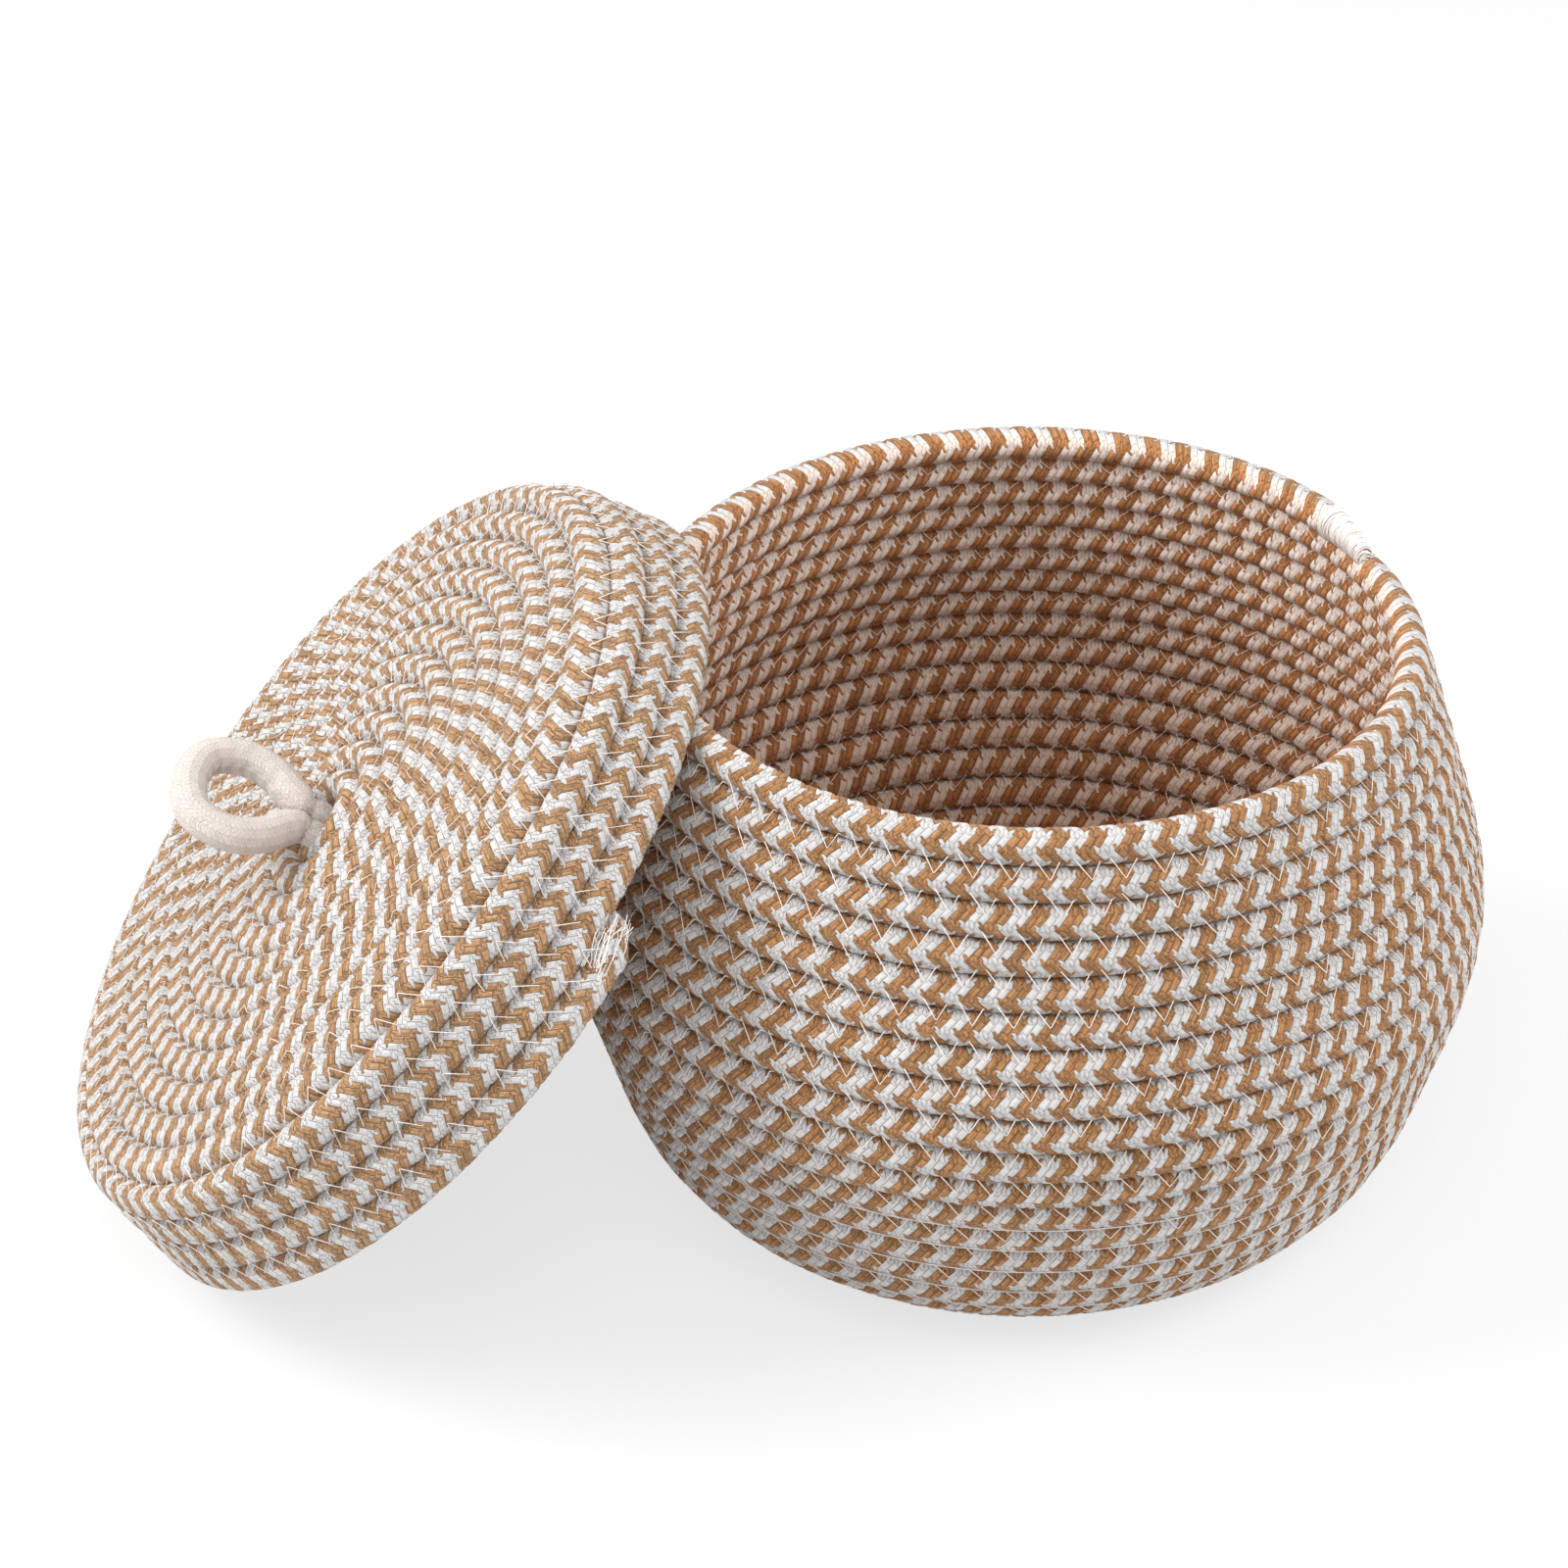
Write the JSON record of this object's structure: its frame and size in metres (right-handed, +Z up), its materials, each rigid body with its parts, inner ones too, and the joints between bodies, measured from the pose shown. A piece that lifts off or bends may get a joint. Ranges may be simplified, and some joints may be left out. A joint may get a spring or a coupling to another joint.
{
  "type": "rope basket",
  "caption": "Round basket coiled from two-colour braided rope, with its loop-handled lid taken off and leaning on the rim.",
  "frame": {"origin": "on the ground under the start of the base coil, in the middle of the flat base", "axes": "+Z up along the basket's axis; the lid leans on the rim on the -X side; the picture looks along +Y"},
  "size_m": [0.3499, 0.2426, 0.1707],
  "materials": {
    "rope": "braided cotton and jute, matte",
    "cord": "braided cotton, matte",
    "thread": "spun thread, slight sheen"
  },
  "bodies": {
    "basket": {"wall_coil": "rope", "base_coil": "rope", "rim_tip": "thread"},
    "lid": {"lid_coil": "rope", "skirt_tip": "thread", "loop_tails": "cord"},
    "loop": {"handle_loop": "cord"}
  },
  "joints": [
    {"name": "lid_lift", "type": "slide", "parent": "basket", "child": "lid", "axis": [-0.7104, -0.1342, 0.6909], "range_m": [0, 0.15]},
    {"name": "loop_fold", "type": "hinge", "parent": "lid", "child": "loop", "pos_m": [-0.17108, -0.03248, 0.105], "axis": [0.0036, -0.9823, -0.1871], "range_deg": [-90, 48]}
  ]
}
